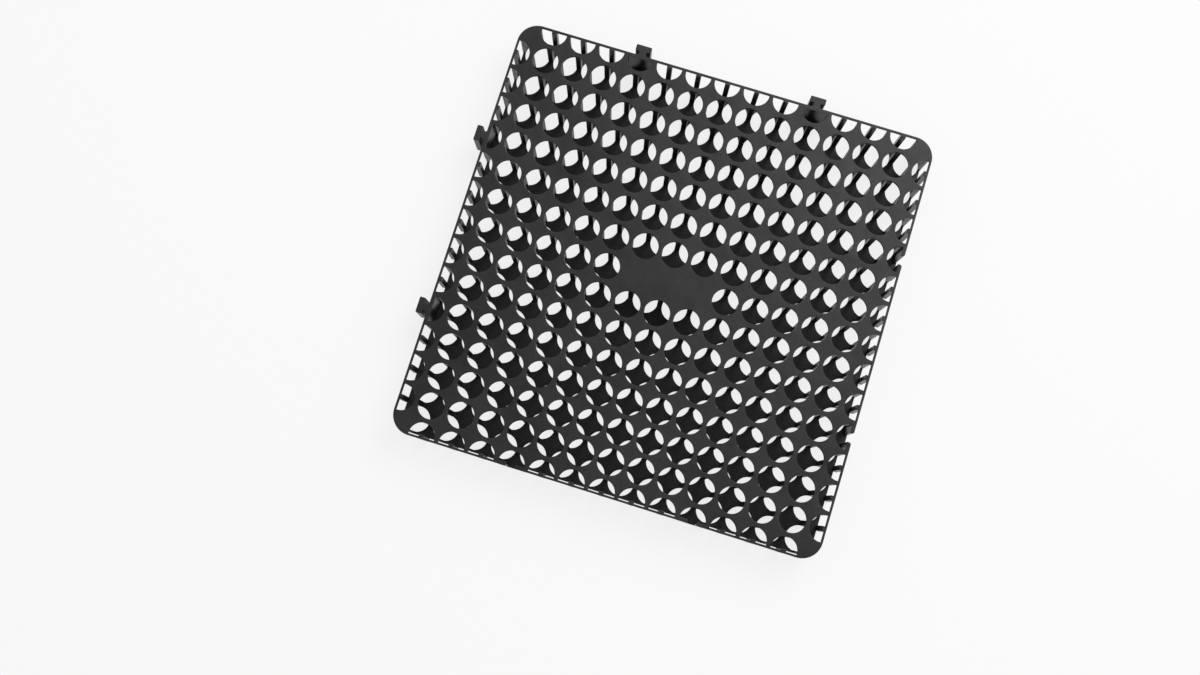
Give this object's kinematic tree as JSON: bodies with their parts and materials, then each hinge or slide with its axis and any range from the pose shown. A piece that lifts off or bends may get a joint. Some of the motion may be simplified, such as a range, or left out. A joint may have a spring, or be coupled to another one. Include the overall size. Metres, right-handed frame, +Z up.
{
  "type": "drainage cell",
  "caption": "Flat square drainage cell moulded in black plastic: two perforated sheets held apart by short posts, with T tabs and slots that link it to its neighbours.",
  "frame": {"origin": "centre of the bounding box, tabs included, at the underside that lies on the ground; the square itself is centred at X +4.1 mm, Y -4.1 mm", "axes": "+Z up, square to both sheets; +X towards the right slotted edge, +Y towards the far tabbed edge"},
  "size_m": [0.3412, 0.3412, 0.03],
  "materials": {
    "black_plastic": "satin, as moulded from recycled polypropylene"
  },
  "bodies": {
    "root": {"drainage_cell": "black_plastic"}
  },
  "joints": []
}
